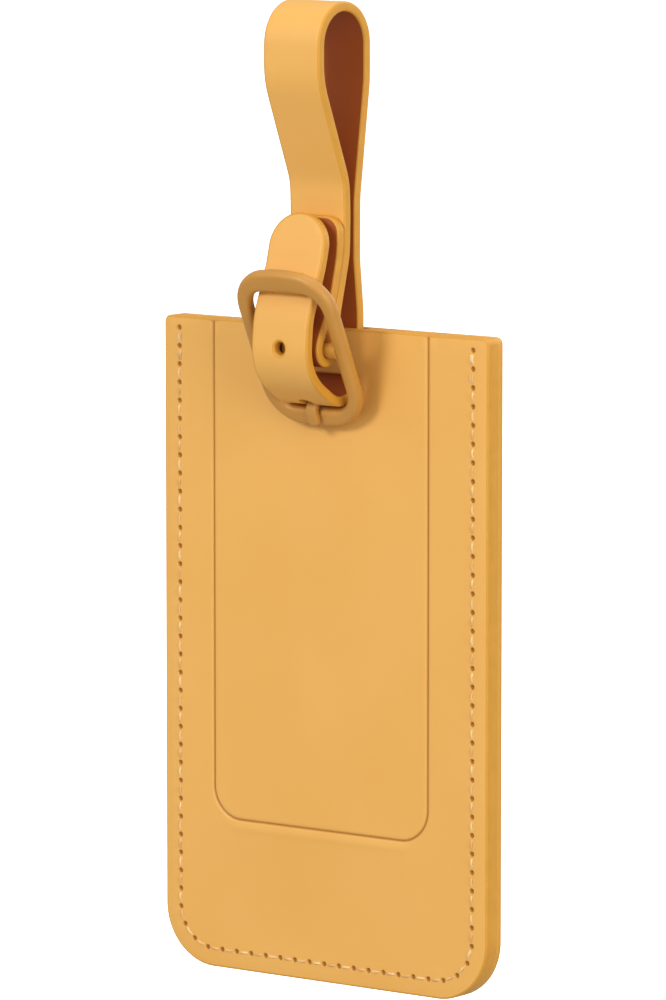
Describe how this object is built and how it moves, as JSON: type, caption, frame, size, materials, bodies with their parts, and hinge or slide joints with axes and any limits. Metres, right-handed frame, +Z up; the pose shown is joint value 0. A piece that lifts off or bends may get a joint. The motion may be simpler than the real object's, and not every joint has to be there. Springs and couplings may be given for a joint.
{
  "type": "luggage tag",
  "caption": "Stitched luggage tag with a pull-out address card, hung from a buckled strap that passes through its sleeve.",
  "frame": {"origin": "top of the strap loop's inside, where the loop bears on a bag handle", "axes": "+X along the sleeve's width, -Y the way the front panel faces, +Z up along the hanging tag"},
  "size_m": [0.073, 0.0203, 0.1789],
  "materials": {
    "cover": "fine-grained coated leather",
    "padding": "painted edge",
    "board": "painted edge",
    "strap": "fine-grained coated leather",
    "strap_lining": "matte lining",
    "thread": "twisted polyester",
    "buckle": "satin lacquer",
    "card": "matte card"
  },
  "bodies": {
    "strap_loop": {"strap_loop_outer": "strap", "strap_loop_lining": "strap_lining"},
    "sleeve": {"front_panel": "cover", "front_board": "padding", "pocket_spacer": "board", "back_board": "board", "back_panel": "cover", "stitching_front": "thread", "stitching_back": "thread", "strap_fold_outer": "strap", "strap_fold_lining": "strap_lining", "strap_tail_outer": "strap", "strap_tail_lining": "strap_lining"},
    "buckle": {"buckle_frame": "buckle"},
    "prong": {"buckle_prong": "buckle"},
    "card": {"address_card": "card"}
  },
  "joints": [
    {"name": "neck_swing", "type": "hinge", "parent": "strap_loop", "child": "sleeve", "pos_m": [0, 0.0025, -0.0351], "axis": [1, 0, 0], "range_deg": [-25, 25]},
    {"name": "buckle_rock", "type": "hinge", "parent": "sleeve", "child": "buckle", "pos_m": [0, -0.0051, -0.0603], "axis": [1, 0, 0], "range_deg": [-1, 1]},
    {"name": "prong_lift", "type": "hinge", "parent": "buckle", "child": "prong", "pos_m": [0, -0.0051, -0.0603], "axis": [-1, 0, 0], "range_deg": [0, 4]},
    {"name": "card_slide", "type": "slide", "parent": "sleeve", "child": "card", "axis": [0, 0, 1], "range_m": [0, 0.02]}
  ]
}
